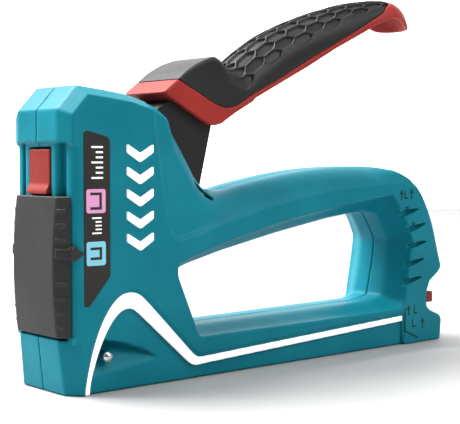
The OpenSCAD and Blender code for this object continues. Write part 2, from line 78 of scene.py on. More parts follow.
def rounded(points, radius, parts=5):
    """A closed outline with each corner cut to an arc-like curve."""
    out = []
    p = [np.array(q, float) for q in points]
    for i, here in enumerate(p):
        back, ahead = p[i - 1] - here, p[(i + 1) % len(p)] - here
        reach = min(radius, 0.45 * np.linalg.norm(back), 0.45 * np.linalg.norm(ahead))
        a = here + back / np.linalg.norm(back) * reach
        b = here + ahead / np.linalg.norm(ahead) * reach
        for t in np.linspace(0, 1, parts + 1):
            out.append(tuple((1 - t) ** 2 * a + 2 * t * (1 - t) * here + t**2 * b))
    return out


def polygon_distance(points, x, z):
    """Signed distance from (x, z) to a closed polygon, negative inside."""
    best = np.full(np.broadcast(x, z).shape, 1e12)
    inside = np.zeros(best.shape, bool)
    for (ax, az), (bx, bz) in zip(points, points[1:] + points[:1]):
        ex, ez = bx - ax, bz - az
        length = ex * ex + ez * ez
        if length < 1e-12:
            continue
        t = np.clip(((x - ax) * ex + (z - az) * ez) / length, 0, 1)
        best = np.minimum(best, (x - ax - t * ex) ** 2 + (z - az - t * ez) ** 2)
        if az != bz:
            inside ^= ((az > z) != (bz > z)) & (x < ex * (z - az) / ez + ax)
    return np.sqrt(best) * np.where(inside, -1, 1)


class Outline:
    """Distance to a closed X-Z outline, negative inside, looked up on a fine grid."""

    def __init__(self, points, step=0.4, margin=14.0):
        p = np.array(points, float)
        self.low, self.step = p.min(0) - margin, step
        size = np.ceil((p.max(0) + margin - self.low) / step).astype(int) + 1
        x = self.low[0] + step * np.arange(size[0])
        z = self.low[1] + step * np.arange(size[1])
        self.grid = polygon_distance([tuple(q) for q in p], x[:, None], z[None, :])

    def __call__(self, x, z):
        n, m = self.grid.shape
        u = np.clip((x - self.low[0]) / self.step, 0, n - 1.001)
        v = np.clip((z - self.low[1]) / self.step, 0, m - 1.001)
        i, j = u.astype(int), v.astype(int)
        u, v = u - i, v - j
        g = self.grid
        return ((g[i, j] * (1 - u) + g[i + 1, j] * u) * (1 - v)
                + (g[i, j + 1] * (1 - u) + g[i + 1, j + 1] * u) * v)


# ---- combining fields -------------------------------------------------------

def meet(a, b, r=0.4):
    """The part inside both a and b, with a round edge of radius r."""
    u, v = a + r, b + r
    return np.minimum(np.maximum(u, v), 0) + np.hypot(np.maximum(u, 0), np.maximum(v, 0)) - r


def join(a, b, r=0.4):
    """a and b together, with a hollow fillet of radius r."""
    return -meet(-a, -b, r)


def cut(a, b, r=0.4):
    """a without b."""
    return meet(a, -b, r)


def both(*fields):
    """The part inside all fields, with sharp edges."""
    return reduce(np.maximum, fields)


def between(low, v, high):
    return np.maximum(low - v, v - high)


def ramp(t):
    """0 to 1 with a soft start and end."""
    t = np.clip(t, 0, 1)
    return t * t * (3 - 2 * t)


def plane(p0, p1, p2, x, y, z):
    """Distance from the plane through three points, positive on the side of the right-hand normal."""
    p0, p1, p2 = (np.array(p, float) for p in (p0, p1, p2))
    n = np.cross(p1 - p0, p2 - p0)
    n /= np.linalg.norm(n)
    return (x - p0[0]) * n[0] + (y - p0[1]) * n[1] + (z - p0[2]) * n[2]


# ---- meshes from fields -----------------------------------------------------

CORNERS = np.array(list(product((0, 1), repeat=3)))
EDGES = [(a, b) for a in range(8) for b in range(a + 1, 8) if np.abs(CORNERS[a] - CORNERS[b]).sum() == 1]


def pulled(points, field, limit, rounds=3):
    """Points moved along the field's slope onto its surface."""
    h = 0.05
    for _ in range(rounds):
        x, y, z = points.T
        value = field(x, y, z)
        slope = np.stack([field(x + h, y, z) - field(x - h, y, z), field(x, y + h, z) - field(x, y - h, z),
                          field(x, y, z + h) - field(x, y, z - h)], 1) / (2 * h)
        step = value[:, None] * slope / np.maximum((slope**2).sum(1), 0.25)[:, None]
        points = points - np.clip(step, -limit, limit)
    return points


def surface(field, low, high, cell):
    """Vertices and quads of the field's surface inside a box, from a grid of cells."""
    axes = [np.arange(a, b + cell, cell) for a, b in zip(low, high)]
    x, y, z = axes[0][:, None, None], axes[1][None, :, None], axes[2][None, None, :]
    shape = tuple(len(a) for a in axes)
    value = np.broadcast_to(field(x, y, z), shape)
    inside = value < 0
    count = sum(inside[i:shape[0] - 1 + i, j:shape[1] - 1 + j, k:shape[2] - 1 + k].astype(np.int8)
                for i, j, k in CORNERS)
    cells = np.argwhere((count > 0) & (count < 8))
    at = cells[:, None, :] + CORNERS[None, :, :]
    d = value[at[..., 0], at[..., 1], at[..., 2]]
    total, hits = np.zeros((len(cells), 3)), np.zeros(len(cells))
    for a, b in EDGES:
        crossed = (d[:, a] < 0) != (d[:, b] < 0)
        t = np.where(crossed, d[:, a] / np.where(crossed, d[:, a] - d[:, b], 1), 0)
        total += np.where(crossed[:, None], CORNERS[a] + t[:, None] * (CORNERS[b] - CORNERS[a]), 0)
        hits += crossed
    points = np.array(low) + cell * (cells + total / hits[:, None])
    index = np.full(tuple(s - 1 for s in shape), -1)
    index[tuple(cells.T)] = np.arange(len(cells))
    quads = []
    for axis in range(3):
        u, v = (axis + 1) % 3, (axis + 2) % 3
        ahead = np.take(inside, range(1, shape[axis]), axis)
        behind = np.take(inside, range(shape[axis] - 1), axis)
        for first, flip in ((behind & ~ahead, False), (ahead & ~behind, True)):
            e = np.argwhere(first)
            e = e[(e[:, u] > 0) & (e[:, v] > 0) & (e[:, u] < shape[u] - 1) & (e[:, v] < shape[v] - 1)]
            ring = []
            for du, dv in ((-1, -1), (0, -1), (0, 0), (-1, 0)):
                c = e.copy()
                c[:, u] += du
                c[:, v] += dv
                ring.append(index[tuple(c.T)])
            quads.append(np.stack(ring[::-1] if flip else ring, 1))
    return pulled(points, field, cell / 2), np.vstack(quads)


def to_frame(points):
    """Nose millimetres to frame metres."""
    return (np.asarray(points, float) + (NOSE_X, 0, 0)) * 0.001


def mesh_piece(name, points, faces, body, material, replaced=(), smooth=True):
    """A finished piece from points in nose millimetres, riding on a body."""
    mesh = bpy.data.meshes.new(name)
    mesh.from_pydata(to_frame(points).tolist(), [], np.asarray(faces).tolist()
                     if isinstance(faces, np.ndarray) else faces)
    mesh.validate()
    piece = bpy.data.objects.new(name, mesh)
    bpy.context.scene.collection.objects.link(piece)
    if smooth:
        mesh.shade_smooth()
    else:
        mesh.shade_flat()
    mesh.materials.append(material)
    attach(piece, body)
    if replaced:
        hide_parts(*replaced)
    return piece


def field_piece(name, field, low, high, cell, body, material, replaced=()):
    """A piece from a field inside a box of nose millimetres."""
    points, quads = surface(field, low, high, cell)
    return mesh_piece(name, points, quads, body, material, replaced)


def mirrored_pieces(names, points, quads, material, replaced):
    """A left piece from the mirror image of the right one, and the right one; both are fixed to the body."""
    for name, sign, node in zip(names, (-1, 1), replaced):
        faces = quads if sign > 0 else quads[:, ::-1]
        mesh_piece(name, points * (1, sign, 1), faces, "root", material, [node])


# ---- materials --------------------------------------------------------------

def new_material(name):
    material = bpy.data.materials.new(name)
    material.use_nodes = True
    tree = material.node_tree
    return material, tree, tree.nodes["Principled BSDF"]


def noise(tree, scale, detail=3.0, rough=0.55):
    """A noise texture in the piece's own coordinates; scale is in features per metre."""
    place = tree.nodes.new("ShaderNodeTexCoord")
    texture = tree.nodes.new("ShaderNodeTexNoise")
    texture.inputs["Scale"].default_value = scale
    texture.inputs["Detail"].default_value = detail
    texture.inputs["Roughness"].default_value = rough
    tree.links.new(place.outputs["Object"], texture.inputs["Vector"])
    return texture.outputs["Fac"]


def spread(tree, value, low, high, start=0.3, end=0.7):
    """Maps a value from start..end to low..high."""
    node = tree.nodes.new("ShaderNodeMapRange")
    node.inputs["From Min"].default_value = start
    node.inputs["From Max"].default_value = end
    node.inputs["To Min"].default_value = low
    node.inputs["To Max"].default_value = high
    tree.links.new(value, node.inputs["Value"])
    return node.outputs["Result"]


def mixed(tree, factor, a, b):
    """Colour a to colour b by a factor; each colour is a socket or three numbers."""
    node = tree.nodes.new("ShaderNodeMix")
    node.data_type = "RGBA"
    tree.links.new(factor, node.inputs["Factor"])
    for socket, value in (("A", a), ("B", b)):
        target = [i for i in node.inputs if i.name == socket and i.type == "RGBA"][0]
        if isinstance(value, tuple):
            target.default_value = (*value, 1)
        else:
            tree.links.new(value, target)
    return [o for o in node.outputs if o.type == "RGBA"][0]


def bumped(tree, shader, *layers):
    """Stacks (height socket, strength, depth in metres) bumps onto the shader."""
    normal = None
    for height, strength, depth in layers:
        bump = tree.nodes.new("ShaderNodeBump")
        bump.inputs["Strength"].default_value = strength
        bump.inputs["Distance"].default_value = depth
        tree.links.new(height, bump.inputs["Height"])
        if normal is not None:
            tree.links.new(normal, bump.inputs["Normal"])
        normal = bump.outputs["Normal"]
    tree.links.new(normal, shader.inputs["Normal"])


def srgb(r, g, b):
    """Linear colour from 0-255 display values."""
    return tuple(((c / 255 + 0.055) / 1.055) ** 2.4 if c > 10 else c / 255 / 12.92 for c in (r, g, b))


def moulded(name, colour, rough=0.42, grain=0.25, vary=0.10, specular=0.2):
    """Moulded plastic: spark-eroded grain, faint flow marks and uneven gloss."""
    material, tree, shader = new_material(name)
    patch = noise(tree, 45, 2)
    fine = noise(tree, 5200, 2)
    light = tuple(min(1, c * (1 + vary) + 0.004) for c in colour)
    dark = tuple(c * (1 - vary) for c in colour)
    tree.links.new(mixed(tree, spread(tree, patch, 0, 1), dark, light), shader.inputs["Base Color"])
    tree.links.new(spread(tree, noise(tree, 900, 3), rough - 0.05, rough + 0.07), shader.inputs["Roughness"])
    shader.inputs["Specular IOR Level"].default_value = specular
    bumped(tree, shader, (fine, grain, 0.00003), (patch, 0.15, 0.0002))
    return material


def steel(name, colour, rough=0.3, streak=(1, 1, 60), metallic=1.0):
    """Metal with fine drawn or ground marks stretched along one axis."""
    material, tree, shader = new_material(name)
    place = tree.nodes.new("ShaderNodeTexCoord")
    stretch = tree.nodes.new("ShaderNodeMapping")
    stretch.inputs["Scale"].default_value = streak
    marks = tree.nodes.new("ShaderNodeTexNoise")
    marks.inputs["Scale"].default_value = 160
    marks.inputs["Detail"].default_value = 4
    tree.links.new(place.outputs["Object"], stretch.inputs["Vector"])
    tree.links.new(stretch.outputs["Vector"], marks.inputs["Vector"])
    line = marks.outputs["Fac"]
    dark = tuple(c * 0.8 for c in colour)
    tree.links.new(mixed(tree, spread(tree, line, 0, 1), dark, colour), shader.inputs["Base Color"])
    tree.links.new(spread(tree, line, rough - 0.08, rough + 0.1), shader.inputs["Roughness"])
    shader.inputs["Metallic"].default_value = metallic
    bumped(tree, shader, (line, 0.2, 0.00002))
    return material


def glowing(material, strength):
    """The material with a white glow added. On the white trim, marks and chevrons the glow is painted light
    that brightens them beyond what the lamps give; on the backdrop it makes the evenly bright backdrop.
    """
    shader = material.node_tree.nodes["Principled BSDF"]
    shader.inputs["Emission Color"].default_value = (1, 1, 1, 1)
    shader.inputs["Emission Strength"].default_value = strength
    return material


TEAL = moulded("teal_plastic", srgb(6, 124, 141), 0.45, 0.3, 0.10, 0.12)
# Dark teal for the pictograms: painted shade, in place of the shade inside engraved marks.
PAINTED_ENGRAVING_SHADE = moulded("painted_engraving_shade", srgb(4, 52, 62), 0.5, 0.2)
RED = moulded("red_plastic", srgb(158, 44, 38), 0.42, 0.3)
RED_NYLON = moulded("red_nylon", srgb(138, 42, 36), 0.45, 0.3)
BLACK = moulded("black_nylon", srgb(24, 22, 22), 0.45, 0.3, 0.12, 0.3)
RUBBER = moulded("grip_rubber", srgb(30, 30, 30), 0.44, 0.4, 0.12, 0.3)
SLIDER = moulded("slider_nylon", srgb(46, 45, 45), 0.5, 0.35, 0.08, 0.25)
# The white parts' glow is painted light: it lifts the trim and marks on the shaded sides to a brighter white.
WHITE = glowing(moulded("white_trim", srgb(250, 250, 250), 0.35, 0.15, 0.02), 0.38)
PRINT = moulded("printed_plate", srgb(47, 45, 43), 0.40, 0.1, 0.08)
BLUE = moulded("print_blue", srgb(140, 215, 235), 0.45, 0.05, 0.03)
PINK = moulded("print_pink", srgb(240, 165, 212), 0.45, 0.05, 0.03)
PLATED = steel("plated_steel", (0.62, 0.63, 0.64), 0.32, (60, 1, 1))
GROUND = steel("ground_steel", (0.72, 0.72, 0.72), 0.22, (1, 60, 1))
WIRE = steel("spring_wire", (0.45, 0.45, 0.46), 0.3, (8, 8, 8))
OXIDE = steel("black_oxide", (0.05, 0.05, 0.055), 0.4, (6, 6, 6), 0.7)
FORGED = steel("forged_steel", (0.35, 0.35, 0.36), 0.45, (4, 4, 4))
BRONZE = steel("bronze", (0.55, 0.36, 0.18), 0.38, (1, 40, 1))
CAST = steel("cast_zinc", (0.6, 0.6, 0.62), 0.42, (4, 4, 4))

CAD_LOOKS = {
    PLATED: ("nose_plate", "magazine_channel", "magazine_rail", "spring_seat", "driver_blade"),
    GROUND: ("nose_pins", "lever_pivot_pin", "rocker_pin", "roller_pin", "lever_roller", "guide_rod",
             "blade_rivets"),
    WIRE: ("main_spring", "catch_spring", "rear_catch_spring", "pusher_spring", "staple_strip"),
    OXIDE: ("housing_screws",),
    FORGED: ("rocker", "hammer_carrier"),
    BRONZE: ("rocker_bush",),
    CAST: ("staple_pusher",),
    BLACK: ("lever_arm", "selector_slider"),
    RED: ("lever_frame",),
    RED_NYLON: ("catch_button", "magazine_end_cap", "rear_catch"),
    RUBBER: ("lever_grip",),
    TEAL: ("left_housing", "right_housing"),
    WHITE: ("left_stripe", "right_stripe", "left_badge", "right_badge"),
    PRINT: ("left_scale_plate", "right_scale_plate"),
}
EDGE_ROUND = {"lever_arm": 0.6, "magazine_end_cap": 0.5, "nose_plate": 0.15,
              "hammer_carrier": 0.3, "rocker": 0.3, "staple_pusher": 0.3, "magazine_channel": 0.15,
              "magazine_rail": 0.15, "housing_screws": 0.2, "catch_button": 0.3, "driver_blade": 0.1}


def dress_cad_nodes():
    """Procedural materials on every CAD node, and a small round on the moulded and machined edges."""
    for material, names in CAD_LOOKS.items():
        for name in names:
            node = frame["nodes"][name]
            node.data.materials.clear()
            node.data.materials.append(material)
    for name, width in EDGE_ROUND.items():
        bevel = frame["nodes"][name].modifiers.new("edge", "BEVEL")
        bevel.width = width * 0.001
        bevel.segments = 3
        bevel.limit_method = "ANGLE"
        bevel.angle_limit = math.radians(40)


# ---- the two half shells ----------------------------------------------------

BAR_TOP = curve([(148.4, 67.4), (139.5, 68.9), (121.6, 68.6), (106.2, 67.4), (91.6, 65.4), (77.6, 62.9),
                 (68, 60.9), (61.8, 61.1), (57, 63.2), (53.6, 66.4), (49.7, 71.2), (45.6, 77),
                 (41.8, 82.2), (39.6, 85.2), (37.4, 87.4), (33.8, 89.1)])
CREST = [(23, 92), (14, 93.1), (5, 94), (-10, 77.7)]
REAR = curve([(173.9, 29.6), (171.8, 35.7), (168.2, 46.4), (162.6, 56.9), (155.6, 64.1)])
SILHOUETTE = ([(-10, -6), (173.2, -6), (173.8, 1.2), (174.5, 8.0), (173.2, 9.8), (167.6, 12.0),
               (165.6, 13.6), (165.1, 15.8), (165.3, 19.6), (167.2, 23.6), (172.2, 26.8), (173.6, 28.2)]
              + REAR + BAR_TOP + CREST)

# where the side's flat front field ends and the sunk field behind the badge and along the bar begins
PANEL = rounded([(30.4, 96), (30.6, 83), (34.6, 57), (37.6, 46.6), (40.6, 44.4), (45.4, 45.7), (77.6, 54.2),
                 (106.2, 59.6), (138, 61.8), (150, 62.4), (160, 60.6), (176, 66), (176, 96)], 3.0)

HOLE_SIDE = rounded([(49.4, 13.4), (148.3, 13.8), (151.6, 15.9), (152.7, 22.3), (154.2, 29.6), (155.3, 36),
                     (156, 40.5), (152.5, 47.5), (149.1, 52.6), (144.8, 57.9), (139.8, 57.2), (121.6, 55.1),
                     (91.6, 50.8), (64.2, 44.9), (44.8, 39.4), (40.6, 37.6), (40.4, 34.2)], 1.6)
HOLE_MID = rounded([(49.0, 15.8), (140.3, 16.8), (148.1, 18.2), (151.4, 31.7), (152.4, 40.3), (149.0, 46),
                    (145.4, 50.9), (138, 51.9), (118, 49.6), (92, 45.3), (66, 40.2), (50, 36.4),
                    (46.2, 34.9), (46, 32)], 1.6)

STRIPE_OUTER = curve([(4.0, -6), (4.5, 0), (5.3, 5), (7.4, 13.2), (10.6, 21), (14.4, 26.6), (18.2, 29.6),
                      (22.2, 30.2), (25.6, 29.0), (28.6, 26.4)])
STRIPE_OUTER += [(45.6, 9.4)] + curve([(46.9, 8.2), (48.4, 7.2), (50.4, 6.9), (53, 7)])
STRIPE_INNER = curve([(6.0, -6), (6.3, 0), (7.1, 5), (9.8, 12.8), (13, 19), (16.4, 23.2), (19.4, 24.9),
                      (22.4, 24.9), (25.0, 23.2)])
STRIPE_INNER += [(44.6, 5.8)] + curve([(46.2, 4.7), (48.2, 4.2), (51, 4.4)])
STRIPE_END = 151.0

LABEL = rounded([(4.1, 27.2), (5.8, 26.6), (13.9, 35.6), (13.9, 77.4), (12.6, 78.5), (5.2, 80.2), (4.1, 79.4)],
                1.2)
SCOOP = rounded([(7.4, 5.0), (17, 5.9), (33.0, 8.3), (27.6, 11.6), (19.6, 14.6), (12.0, 16.2), (9.4, 11)],
                0.8)

outside = Outline(SILHOUETTE)
panel = Outline(PANEL)
hole_side = Outline(HOLE_SIDE)
hole_mid = Outline(HOLE_MID)
stripe_outside = Outline(STRIPE_OUTER + [(STRIPE_END, 11.3), (STRIPE_END, -6)])
stripe_inside = Outline(STRIPE_INNER + [(STRIPE_END, 9.1), (STRIPE_END, 1.4), (157, -6)])
label_pocket = Outline(LABEL, 0.25)
scoop_edge = Outline(SCOOP, 0.25)

CAP_UNDER = 76.6
NOSE_TOP = 16.9
WORKS = Outline([(4.3, 29.6), (14, 29.6), (33, 36), (40.4, 42.8), (50.6, 46.2), (58.6, 58.6), (49.6, 64.6),
                 (44.4, 71), (35.6, 83), (33.4, 84.6), (16, 89.8), (4.3, 89.8)])
WELL = Outline([(23, 45), (28, 42.8), (43, 39.2), (52.8, 39.6), (54.4, 50), (40, 52)])
SLOT = Outline([(32.4, 80), (44, 71), (52, 58), (59.6, 60.6), (64, 66), (62, 96), (32.4, 96)])


def side_face(x, z):
    """Half width of the body at (x, z): the flat side, the sunk panel and the step round the stripe."""
    inside_panel = np.maximum(-panel(x, z), 0)
    along_bar = ramp((x - 46) / 18)
    sunk = 1.3 * (1 - along_bar) * ramp(inside_panel / 2.0)
    sunk = sunk + (0.07 + 0.30 * along_bar) * np.maximum(inside_panel - 1.5 * (1 - along_bar), 0)
    step = 0.55 * ramp(1 - stripe_outside(x, z) / 1.3)
    return HALF_W - np.minimum(sunk, 4.0) - step


def edge_radius(x, z):
    """Radius of the side's outer edge: crisp at the cap and the rear, soft along shoulder and bar."""
    soft = ramp((x - 34) / 8) * ramp((152 - x) / 14) * ramp((z - 42) / 10)
    return 0.6 + 7.6 * soft


def top_chamfer(x, z):
    """Depth of the flat chamfer round the cap's crest."""
    return 3.0 * ramp((z - 70) / 8) * ramp((42 - x) / 6)


def front_faces(x, y, z):
    """The planes that shape the nose, the tongue behind the slider and the cap."""
    cap = meet(-1.9 - x, (2.4 * (y - 11.2) - 5.4 * (x + 1.9)) / 5.91, 0.3)
    nose_front = plane((0.1, 0, -1), (-1.9, 0, 16.9), (0.1, 1, -1), x, y, z)
    nose_side = plane((0.1, 12, -1), (-1.9, 11, 16.9), (5, 17.6, -1), x, y, z)
    nose = meet(nose_front, nose_side, 0.3)
    tongue = meet(-0.7 - x, y - 9.5, 1.6)
    wall = meet(0.6 - x, 12.4 - y, 0.5)
    middle = np.minimum(join(tongue, 2.2 - x, 0.3), wall)
    body = meet(nose, between(-9, z, NOSE_TOP), 0.3)
    body = join(body, meet(cap, CAP_UNDER - z, 0.35), 0.05)
    return join(body, np.maximum(middle, between(NOSE_TOP - 1, z, CAP_UNDER + 1)), 0.05)


def hand_hole(x, y, z, right):
    """Through hole that flares towards both sides, further back on the right."""
    share = ramp((y - 6) / 10.4)
    if right:
        x = x - 2.0 * (np.clip(y, 0, HALF_W) / HALF_W) ** 1.5 * ramp((x - 124) / 22)
    return hole_mid(x, z) * (1 - share) + hole_side(x, z) * share


# tips of the finger grooves, at the hole's edge and on the side face
GROOVES = [((149.2, 50.1), (160.1, 52.3)), ((153.0, 43.8), (164.1, 46.4)), ((151.9, 37.1), (164.9, 39.4)),
           ((150.5, 30.1), (163.6, 32.6)), ((148.6, 23.1), (161.9, 25.5))]


GROOVE_DEPTH = 2.2
LEDGE_DEPTH = 0.9


def finger_grooves(x, y, z):
    """Five dart-shaped notches across the rear column's inner edge, each with a ledge below it."""
    out = np.full(np.broadcast(x, y, z).shape, 9.0)
    for (x0, z0), (x1, z1) in GROOVES:
        along = np.clip((x - x0) / (x1 - x0), 0, 1)
        middle = z0 + (z1 - z0) * along
        thick = 1.25 * np.sqrt(along * (1 - along) * 4) * (1 - 0.45 * along)
        dart = np.maximum(np.abs(z - middle) - thick, between(x0, x, x1))
        deep = np.maximum(dart, HALF_W - GROOVE_DEPTH - y)
        notch = both(between(x0 - 3, x, x0 + 4.5), between(middle - 0.6, z, middle + 2.6),
                     HALF_W - LEDGE_DEPTH - y)
        out = np.minimum(out, np.minimum(deep, notch))
    return out


def scoop(x, y, z):
    """Leaf-shaped scoop: a sheer wall above and a floor that rises to the lower edge."""
    floor = plane((7.4, HALF_W - 1.5, 5.0), (33.0, HALF_W - 1.5, 8.3), (13, HALF_W - 8, 15), x, y, z)
    return meet(scoop_edge(x, z), floor, 0.1)


def hollows(x, y, z):
    """Room inside for the works, the lever's arm, the blade, the magazine and the catch."""
    out = np.maximum(WORKS(x, z), y - 12.6)
    out = np.minimum(out, np.maximum(WELL(x, z), y - 5))
    out = np.minimum(out, np.maximum(SLOT(x, z), y - 9.3))
    out = np.minimum(out, both(between(1.7, x, 4.4), y - 8.3, between(-9, z, 63.2)))
    out = np.minimum(out, both(between(4.3, x, 158), y - 6.9, z - 12.1))
    out = np.minimum(out, both(157.7 - x, y - 9.3, z - 13.2))
    out = np.minimum(out, both(164 - x, y - 9.3, between(12, z, 24.4)))
    return np.minimum(out, both(between(-9, x, 2.9), y - 6.3, between(60.4, z, 75.3)))


SCREWS = [(22, 20.5), (98, 59.6), (150.5, 60), (158.5, 21)]
SCREW_BORE = 3.2
SCREW_DEPTH = 4.4


def screw_bores(x, y, z):
    """Counterbores that the housing screws sit in."""
    bore = np.min([np.hypot(x - a, z - b) for a, b in SCREWS], axis=0) - SCREW_BORE
    return np.maximum(bore, HALF_W - SCREW_DEPTH - y)


def shell(x, y, z, right):
    """One half shell, on the side where y is positive."""
    edge = outside(x, z)
    face = y - side_face(x, z)
    body = meet(edge, face, edge_radius(x, z))
    slant = top_chamfer(x, z)
    chamfer = (5.4 * (edge + slant) + slant * face) / np.hypot(5.4, np.maximum(slant, 0.5))
    body = np.where(slant > 0.3, meet(body, chamfer, 0.35), body)
    body = meet(body, front_faces(x, y, z), 0.35 + 2.4 * ramp((z - NOSE_TOP) / 1.2) * ramp((76.4 - z) / 1.2))
    hole = hand_hole(x, y, z, right)
    body = cut(body, hole, 0.6)
    body = cut(body, np.maximum(stripe_inside(x, z), HALF_W - 1.5 - y), 0.25)
    body = cut(body, np.maximum(label_pocket(x, z), HALF_W - 0.35 - y), 0.1)
    body = cut(body, scoop(x, y, z), 0.3)
    grooves = finger_grooves(x, y, z)
    if right:
        grooves = np.maximum(grooves, 1.0 - hole)
    body = cut(body, grooves, 0.15)
    if right:
        body = cut(body, screw_bores(x, y, z), 0.2)
    body = cut(body, hollows(x, y, z), 0.3)
    body = meet(body, -z, 0.4)
    return meet(body, 0.07 - y, 0.3)


def make_shells():
    """Both half shells; the right one also has the screws' counterbores."""
    low, high = (-3.2, -0.6, -0.8), (175.6, HALF_W + 0.8, 95.2)
    cell = 0.55
    for name, sign in (("left_shell", -1), ("right_shell", 1)):
        points, quads = surface(lambda x, y, z: shell(x, y, z, sign > 0), low, high, cell)
        faces = quads if sign > 0 else quads[:, ::-1]
        mesh_piece(name, points * (1, sign, 1), faces, "root", TEAL,
                   [name.replace("shell", "housing")])


# ---- stripes, label, badge and marks ----------------------------------------

def stripe(x, y, z):
    """White trim line between the upper side and the sunk lower field."""
    edge = meet(stripe_outside(x, z) + 0.08, -stripe_inside(x, z) + 0.02, 0.15)
    return meet(meet(edge, between(HALF_W - 1.7, y, HALF_W - 0.42), 0.18), 0.02 - z, 0.1)


def make_stripes():
    points, quads = surface(stripe, (3, 14.4, -0.6), (153, 16.9, 31.5), 0.32)
    mirrored_pieces(("left_trim", "right_trim"), points, quads, WHITE,
                    ("left_stripe", "right_stripe"))


def prism(name, outline, low, high, sign, bevel, material, replaced=(), body="root"):
    """A flat plate on one side of the tool, from low to high in |Y|, with a bevelled outer edge."""
    p = np.array(outline, float)
    n = len(p)
    along = np.roll(p, -1, 0) - np.roll(p, 1, 0)
    normal = np.stack([along[:, 1], -along[:, 0]], 1) / np.linalg.norm(along, axis=1)[:, None]
    area = np.sum(p[:, 0] * np.roll(p[:, 1], -1) - np.roll(p[:, 0], -1) * p[:, 1])
    inner = p - normal * bevel * np.sign(area)
    rings = [(p, low), (p, high - bevel), (inner, high)]
    points = np.vstack([np.column_stack([q[:, 0], np.full(n, sign * y), q[:, 1]]) for q, y in rings])
    faces = [list(range(n)), list(range(2 * n, 3 * n))[::-1]]
    for ring in range(2):
        for i in range(n):
            j = (i + 1) % n
            faces.append([ring * n + j, ring * n + i, (ring + 1) * n + i, (ring + 1) * n + j])
    piece = mesh_piece(name, points, faces, body, material, replaced, smooth=False)
    tidy = bmesh.new()
    tidy.from_mesh(piece.data)
    bmesh.ops.recalc_face_normals(tidy, faces=tidy.faces)
    tidy.to_mesh(piece.data)
    tidy.free()
    return piece


def box_outline(x0, z0, x1, z1, radius=0.0):
    points = [(x0, z0), (x1, z0), (x1, z1), (x0, z1)]
    return rounded(points, radius, 4) if radius else points


def scale_marks(side, sign):
    """The label's two printed fields with a staple picture each, and plain length marks."""
    face = HALF_W - 0.06
    for tone, material, z0 in (("blue", BLUE, 39.3), ("pink", PINK, 55.2)):
        field = box_outline(5.1, z0, 12.1, z0 + 7.3, 0.9)
        prism(f"{side}_{tone}_field", field, face - 0.2, face + 0.02, sign, 0.01, material)
        wide = 1.9 if tone == "blue" else 2.6
        mid, low, high = z0 + 3.65, 6.5, 10.7
        legs = [(low, mid - wide), (high, mid - wide), (high, mid + wide), (low, mid + wide),
                (low, mid + wide - 0.8), (high - 0.9, mid + wide - 0.8), (high - 0.9, mid - wide + 0.8),
                (low, mid - wide + 0.8)]
        prism(f"{side}_{tone}_staple", legs, face - 0.1, face + 0.05, sign, 0.01, PRINT)
    for i in range(5):
        reach = 3.4 if i in (0, 4) else 2.2
        mark = box_outline(10.6 - reach, 48.9 + 1.15 * i, 10.6, 49.35 + 1.15 * i)
        prism(f"{side}_mark_{i}", mark, face - 0.2, face + 0.02, sign, 0.01, WHITE)
    for i in range(7):
        reach = 4.2 if i % 3 == 0 else 2.6
        mark = box_outline(11.2 - reach, 65.6 + 1.55 * i, 11.2, 66.15 + 1.55 * i)
        prism(f"{side}_rule_{i}", mark, face - 0.2, face + 0.02, sign, 0.01, WHITE)


def make_labels():
    """The dark plate on each side, in its pocket, with its marks."""
    for side, sign in (("left", -1), ("right", 1)):
        inner = [(x + 0.12 * (1 if x < 9 else -1), z + 0.1 * (1 if z < 40 else -1)) for x, z in LABEL]
        prism(side + "_label", inner, HALF_W - 0.45, HALF_W - 0.06, sign, 0.05, PRINT,
              [side + "_scale_plate"])
        scale_marks(side, sign)


# plain signs, and where their feet stand
ARROW = [(-0.35, 0), (0.35, 0), (0.35, 2.2), (1.2, 2.2), (0, 4.2), (-1.2, 2.2), (-0.35, 2.2)]
BRACKET = [(0, 0), (2.2, 0), (2.2, 0.6), (0.6, 0.6), (0.6, 3.4), (0, 3.4)]
PICTOGRAMS = [(ARROW, 149.6, 55.9), (BRACKET, 151.2, 56.3), (ARROW, 155.4, 56.3),
              (ARROW, 154.2, 11.0), (BRACKET, 157.2, 11.4), (BRACKET, 156.2, 6.2), (ARROW, 162.6, 5.4)]
BORDER = [(151.8, 14), (152.4, 14), (152.4, 5.3), (159.9, 2.1), (159.6, 1.5), (151.8, 4.9)]


def make_pictograms():
    """Dark pictograms on the rear column and the foot, with a border line in front of the foot's: near-flush
    plates whose dark teal is painted shade standing in for engraved marks.
    """
    for side, sign in (("left", -1), ("right", 1)):
        shapes = [[(x0 + x, z0 + z) for x, z in shape] for shape, x0, z0 in PICTOGRAMS] + [BORDER]
        for i, shape in enumerate(shapes):
            prism(f"{side}_pictogram_{i}", shape, HALF_W - 0.3, HALF_W + 0.03, sign, 0.01, PAINTED_ENGRAVING_SHADE)


CHEVRON = rounded([(0, 0), (5, 3), (5, 5.6), (0, 2.8), (-5, 5.6), (-5, 3)], 0.4, 3)
chevron_edge = Outline(CHEVRON, 0.1, 3)


def badge(x, y, z):
    """A column of five raised chevrons that point at the staple outlet."""
    row = np.clip(np.floor((z - 42.4) / 6.9), 0, 4)
    return meet(chevron_edge(x - 24.9, z - 43 - 6.9 * row), between(HALF_W - 0.8, y, HALF_W + 0.8), 0.22)


def make_badges():
    points, quads = surface(badge, (19.4, 15.2, 42.2), (30.4, 17.8, 76.6), 0.24)
    mirrored_pieces(("left_chevrons", "right_chevrons"), points, quads, WHITE,
                    ("left_badge", "right_badge"))


# ---- slider and magazine button ---------------------------------------------

SLIDER_Z = (17.6, 60.3)
SLIDER_MID = 38.9
ARROW_Z = 43.1
arrow_edge = Outline([(-4.2, 44.6), (-0.4, 44.6), (0.4, 45.6), (4.0, ARROW_Z), (0.4, 40.8), (-0.4, 41.8),
                      (-4.2, 41.8)], 0.1, 4)


